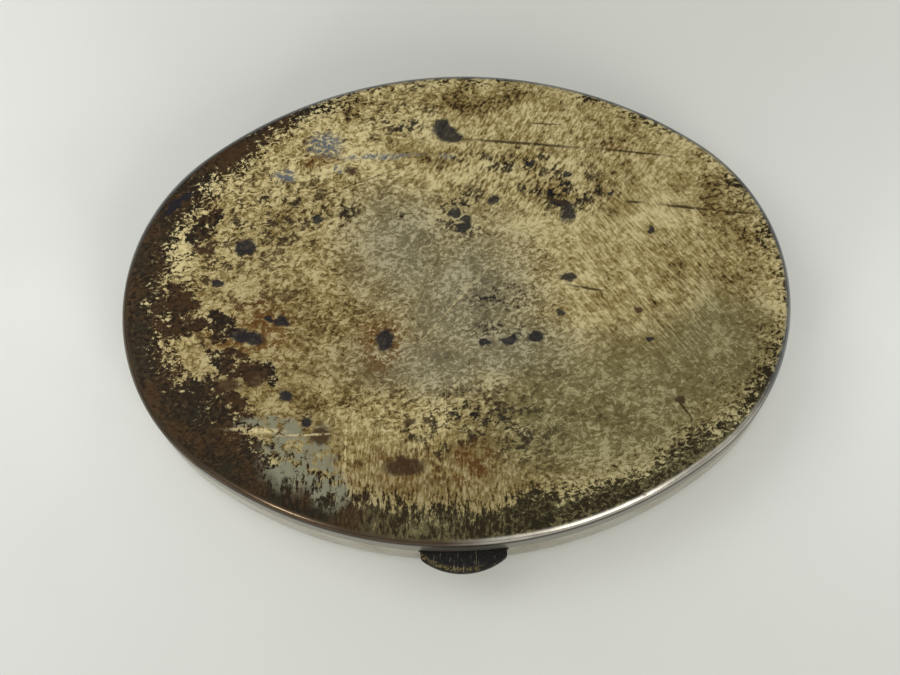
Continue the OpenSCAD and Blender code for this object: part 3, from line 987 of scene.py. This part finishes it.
collar = {
    "thick": 0.4 * mm,
    "bearerGap": 0.15 * mm,
    "cutDeep": 5 * mm,
    "bevel": 0.06 * mm,
}
hinge = {
    "groove": 0.05 * mm,
    "ends": 0.3 * mm,
    "bore": 0.48 * mm,
    "bevel": 0.08 * mm,
    "pinDome": 0.12 * mm,
}
catch = {
    "slotGap": 0.15 * mm,
    "slotDeep": 1.5 * mm,
    "thick": 0.8 * mm,
    "frontRadius": 6.4 * mm,
    "cornerRound": 0.6 * mm,
    "edgeBevel": 0.18 * mm,
    "flangeThick": 0.5 * mm,
    "flangeWidth": 6.6 * mm,
    "springThick": 0.3 * mm,
    "springBend": 0.6 * mm,
    "softBevel": 0.05 * mm,
    "hookThick": 0.4 * mm,
    "noseThick": 0.5 * mm,
    "noseLead": 0.2 * mm,
    "rivetHead": 0.28 * mm,
    "rivetShank": 0.35 * mm,
}


def buildCollar():
    piece = addOvalPlate("baseCollar", collarLow.z, sheet["baseWall"], fill="NOTHING")
    startEditing(piece, "EDGE")
    bpy.ops.mesh.select_all(action="SELECT")
    extrudeUp(collarHigh.z - collarLow.z)
    stopEditing()
    faceOut(piece)
    thickenInward(piece, collar["thick"])
    cutX = bearerHigh.x + collar["bearerGap"]
    cutAway(piece, addBox((-cutX, halfWidth - collar["cutDeep"], bearerLow.z - collar["bearerGap"]),
                             (cutX, halfWidth + past, collarHigh.z + past)))
    cutTabSlot(piece, 2 * catch["slotGap"], 2 * catch["slotDeep"], collarHigh.z)
    softenEdges(piece, collar["bevel"])
    smoothByAngle(piece)
    giveMaterials(piece, gilt)
    finishPiece(piece, "base", "base_collar")


def buildKnuckles():
    # One tube is modelled, then each other knuckle is a copy with a mesh of its own
    length = knuckleHigh.x - knuckleLow.x
    first = addDrum(knuckleRadius, length, (0, 0, 0), corners=48)
    startEditing(first, "FACE")
    pickFaces(first, isCap)
    bpy.ops.mesh.inset(thickness=knuckleRadius - hinge["bore"], use_individual=True)
    bpy.ops.mesh.bridge_edge_loops()
    stopEditing()
    faceOut(first)
    softenEdges(first, hinge["bevel"], 3)
    names = [("base", "left"), ("lid", "left"), ("base", "middle"), ("lid", "right"), ("base", "right")]
    for body, side in names:
        node = body + "_knuckle_" + side
        low, high = nodeBox(node)
        piece = first.copy()
        piece.data = first.data.copy()
        piece.name = body + "Knuckle" + side.capitalize()
        piece.data.name = piece.name
        bpy.context.collection.objects.link(piece)
        piece.location = (low + high) / 2
        atOrigin(piece)
        smoothByAngle(piece)
        giveMaterials(piece, hingeMetal)
        finishPiece(piece, body, node)
    bpy.data.objects.remove(first)


def buildPin():
    piece = addDrum(pinHigh.z - hingeMiddle.z, pinHigh.x - pinLow.x, hingeMiddle, corners=32)
    piece.name = "hingePin"
    softenEdges(piece, hinge["pinDome"], 4)
    smoothByAngle(piece)
    giveMaterials(piece, hingeMetal)
    finishPiece(piece, "base", "hinge_pin")


# Thumb catch

def tabOutline():
    # Half-moon seen from above: straight sides inside the slot, rounded corners and a curved front
    half = (tabHigh.x - tabLow.x) / 2
    radius, corner = catch["frontRadius"], catch["cornerRound"]
    centreY = tabLow.y + radius
    cornerX = half - corner
    cornerY = centreY - math.sqrt((radius - corner) ** 2 - cornerX ** 2)
    cornerTurn = math.atan2(cornerY - centreY, cornerX)

    def arc(x, y, reach, start, end, steps):
        turns = [start + (end - start) * step / steps for step in range(steps + 1)]
        return [(x + reach * math.cos(turn), y + reach * math.sin(turn)) for turn in turns]

    points = [(half, tabHigh.y)]
    points += arc(cornerX, cornerY, corner, 0, cornerTurn, 10)
    points += arc(0, centreY, radius, cornerTurn, -math.pi - cornerTurn, 32)[1:-1]
    points += arc(-cornerX, cornerY, corner, -math.pi - cornerTurn, -math.pi, 10)
    points.append((-half, tabHigh.y))
    return points[::-1]


def buildThumbTab():
    points = tabOutline()
    underside = tabHigh.z - catch["thick"]
    clearSelection()
    bpy.ops.mesh.primitive_circle_add(vertices=len(points), radius=1 * mm, fill_type="NGON")
    piece = bpy.context.active_object
    piece.name = "thumbTab"
    for vert, (x, y) in zip(piece.data.vertices, points):
        vert.co = (x, y, underside)
    startEditing(piece, "FACE")
    bpy.ops.mesh.select_all(action="SELECT")
    extrudeUp(catch["thick"])
    # The back edge is turned down, to carry the spring and the hook
    flangeFront = tabHigh.y - catch["flangeThick"]
    flangeHalf = catch["flangeWidth"] / 2
    scorePiece((0, flangeFront, 0), (0, 1, 0))
    for side in (-1, 1):
        scorePiece((side * flangeHalf, 0, 0), (1, 0, 0))
    pickFaces(piece, lambda face: face.normal.z < -0.9
              and face.calc_center_median().y > flangeFront
              and abs(face.calc_center_median().x) < flangeHalf)
    extrudeUp(tabLow.z - underside)
    stopEditing()
    faceOut(piece)
    softenEdges(piece, catch["edgeBevel"], 4)
    smoothByAngle(piece)
    giveMaterials(piece, blackTab)
    finishPiece(piece, "catch", "thumb_tab")


def buildSpring():
    # Leaf, round bend and foot: a flat strip, spun and extruded, then given its thickness
    low, high = nodeBox("catch_spring")
    thick, bend = catch["springThick"], catch["springBend"]
    leafY = low.y + thick / 2
    bendCentre = (0, low.y + thick + bend, low.z + thick + bend)
    clearSelection()
    middle = (0, leafY, (high.z + bendCentre[2]) / 2)
    bpy.ops.mesh.primitive_plane_add(size=1, location=middle, rotation=(math.pi / 2, 0, 0))
    piece = bpy.context.active_object
    piece.name = "catchSpring"
    piece.scale = (high.x - low.x, high.z - bendCentre[2], 1)
    atOrigin(piece)
    startEditing(piece, "EDGE")
    pickEdges(piece, lambda edge: abs(edge.verts[0].co.x - edge.verts[1].co.x) < near)
    bpy.ops.mesh.subdivide(number_cuts=12)
    pickEdges(piece, lambda edge: all(vert.co.z < bendCentre[2] + near for vert in edge.verts))
    bpy.ops.mesh.spin(steps=10, angle=-math.pi / 2, center=bendCentre, axis=(1, 0, 0))
    footZ = low.z + thick / 2
    pickEdges(piece, lambda edge: all(vert.co.z < footZ + 0.002 * mm for vert in edge.verts))
    extrudeBy(0, high.y - bendCentre[1], 0)
    stopEditing()
    faceOut(piece)
    applyModifier(piece, "SOLIDIFY", "strip", thickness=thick, offset=0, use_even_offset=True)
    softenEdges(piece, catch["softBevel"], degrees=60)
    smoothByAngle(piece)
    giveMaterials(piece, springStrip)
    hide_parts("catch_spring")
    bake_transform(piece)
    print("made", piece.name)


def buildHook():
    low, high = nodeBox("latch_hook")
    plateFront = high.y - catch["hookThick"]
    noseLow = high.z - catch["noseThick"]
    piece = addBox((low.x, plateFront, low.z), high)
    piece.name = "latchHook"
    startEditing(piece, "FACE")
    scorePiece((0, 0, noseLow), (0, 0, 1))
    pickFaces(piece, lambda face: face.normal.y < -0.9 and face.calc_center_median().z > noseLow)
    extrudeBy(0, low.y - plateFront, 0)
    pickEdges(piece, lambda edge: all(vert.co.y < low.y + near and vert.co.z > high.z - near
                                      for vert in edge.verts))
    bpy.ops.mesh.bevel(offset=catch["noseLead"], segments=4, profile=0.5, affect="EDGES")
    stopEditing()
    faceOut(piece)
    softenEdges(piece, catch["softBevel"])
    smoothByAngle(piece)
    giveMaterials(piece, catchMetal)
    finishPiece(piece, "catch", "latch_hook")


def buildRivets():
    # One rivet is modelled, the other is a copy of it
    low, high = nodeBox("catch_rivets")
    headRadius = (high.z - low.z) / 2
    headBase = high.y - catch["rivetHead"]
    across = (high.x - low.x) / 2 - headRadius
    heightZ = (low.z + high.z) / 2
    lying = (math.pi / 2, 0, 0)
    shank = addDrum(catch["rivetShank"], headBase - low.y, (across, (headBase + low.y) / 2, heightZ),
                    corners=32, turn=lying)
    clearSelection()
    bpy.ops.mesh.primitive_uv_sphere_add(segments=32, ring_count=16, radius=headRadius,
                                         location=(across, headBase, heightZ), rotation=lying)
    head = bpy.context.active_object
    head.scale.z = catch["rivetHead"] / headRadius
    atOrigin(head)
    startEditing(head, "FACE")
    bpy.ops.mesh.select_all(action="SELECT")
    bpy.ops.mesh.bisect(plane_co=(0, headBase, 0), plane_no=(0, 1, 0), clear_inner=True, use_fill=True)
    stopEditing()
    first = joinPieces([head, shank], "catchRivets")
    faceOut(first)
    second = first.copy()
    second.data = first.data.copy()
    bpy.context.collection.objects.link(second)
    second.location.x = -2 * across
    atOrigin(second)
    piece = joinPieces([first, second], "catchRivets")
    smoothByAngle(piece)
    giveMaterials(piece, catchMetal)
    finishPiece(piece, "catch", "catch_rivets")


buildLidShell()
buildBaseShell()
buildCollar()
buildKnuckles()
buildPin()
buildThumbTab()
buildSpring()
buildHook()
buildRivets()

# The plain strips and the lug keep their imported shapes
packedMetals = {"base_bearer": hingeMetal, "lid_bearer": hingeMetal, "lid_lug": catchMetal}
for nodeName, material in packedMetals.items():
    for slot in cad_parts[nodeName].material_slots:
        slot.material = material


# Table, light and camera

stage = {
    "paper": linear(233, 234, 230),
    "mottledPaper": linear(229, 230, 226),
    "shadedPaper": linear(205, 205, 198),
    "shadedBehind": [(22, 41, 52, 31, 0)],
    "shadedInFront": [(12, -46, 80, 32, 0)],
    "frontShare": 0.85,
    "shadeShare": 0.95,
    "roughness": 0.9,
    "size": 1.2,
}


def buildStage():
    clearSelection()
    bpy.ops.mesh.primitive_plane_add(size=stage["size"])
    floor = bpy.context.active_object
    floor.name = "floor"
    material, tree, shader, place = startMaterial("paper")
    noise = noiseAt(tree, place, 0.06, 5.0)
    tone = blendColour(tree, ramp(tree, noise, 0.3, 0.7), stage["mottledPaper"], stage["paper"])
    behind = patches(tree, place, stage["shadedBehind"], 0.85)
    inFront = times(tree, patches(tree, place, stage["shadedInFront"], 0.85), stage["frontShare"])
    shaded = larger(tree, behind, inFront)
    tone = blendColour(tree, times(tree, shaded, stage["shadeShare"]), tone, stage["shadedPaper"])
    fibre = noiseAt(tree, place, 1.1, 5.0)
    addBump(tree, shader, fibre, 0.25, 0.05 * mm)
    tree.links.new(tone, shader.inputs["Base Color"])
    shader.inputs["Roughness"].default_value = stage["roughness"]
    floor.data.materials.append(material)


lights = {
    "overhead": (0.66, 0.67, 0.66, 1),
    "horizon": (0.22, 0.22, 0.22, 1),
    "skyBand": (0.02, 0.35),
    "skyStrength": 1.0,
    # Each panel: name, place, what it faces, its two sides in metres, power in watts, colour
    "panels": [("ceiling", (-0.28, 0.10, 0.40), (-0.05, 0, 0), (0.3, 0.3), 0.6, (1, 1, 0.99)),
               ("window", (0.33, -0.64, 0.38), (0, 0, 0), (0.30, 0.62), 2.2, (1, 0.98, 0.93)),
               ("lamp", (-0.44, -0.62, 0.26), (0, 0, 0), (0.10, 0.14), 0.6, (1, 0.96, 0.9))],
}


def addAreaLight(name, place, target, size, power, colour):
    clearSelection()
    bpy.ops.object.light_add(type="AREA", location=place)
    light = bpy.context.active_object
    light.name = name
    light.data.shape = "RECTANGLE"
    light.data.size, light.data.size_y = size
    light.data.energy = power
    light.data.color = colour
    light.rotation_euler = (Vector(target) - Vector(place)).to_track_quat("-Z", "Y").to_euler()


def buildLights():
    world = bpy.data.worlds.new("studio")
    bpy.context.scene.world = world
    world.use_nodes = True
    tree = world.node_tree
    background = tree.nodes["Background"]
    direction = addNode(tree, "ShaderNodeTexCoord").outputs["Generated"]
    height = addNode(tree, "ShaderNodeSeparateXYZ", {0: direction}).outputs[2]
    tone = blendColour(tree, ramp(tree, height, *lights["skyBand"]), lights["horizon"], lights["overhead"])
    tree.links.new(tone, background.inputs["Color"])
    background.inputs["Strength"].default_value = lights["skyStrength"]
    for panel in lights["panels"]:
        addAreaLight(*panel)


camera = {
    # Focal length and offset are in widths of one 900th of the view, angles in degrees
    "focal": 1700,
    "viewWidth": 900,
    "sensor": 36,
    "distance": 162.9 * mm,
    "tilt": 17.8,
    "swing": 1.9,
    "roll": -3.8,
    "offset": (5.5, -35.5),
    "aimHeight": 7.75 * mm,
}


def buildCamera():
    tilt, swing = math.radians(camera["tilt"]), math.radians(camera["swing"])
    away = Vector((math.sin(swing) * math.sin(tilt), -math.cos(swing) * math.sin(tilt), math.cos(tilt)))
    bpy.ops.object.camera_add(location=Vector((0, 0, camera["aimHeight"])) + away * camera["distance"])
    view = bpy.context.active_object
    view.rotation_euler = away.to_track_quat("Z", "Y").to_euler()
    view.rotation_euler.rotate_axis("Z", math.radians(camera["roll"]))
    width = camera["viewWidth"]
    view.data.sensor_width = camera["sensor"]
    view.data.lens = camera["focal"] * camera["sensor"] / width
    view.data.shift_x = -camera["offset"][0] / width
    view.data.shift_y = camera["offset"][1] / width
    view.data.clip_start = 0.01
    bpy.context.scene.camera = view


buildStage()
buildLights()
buildCamera()
bpy.context.scene.view_settings.view_transform = "Standard"
print("stage ready")
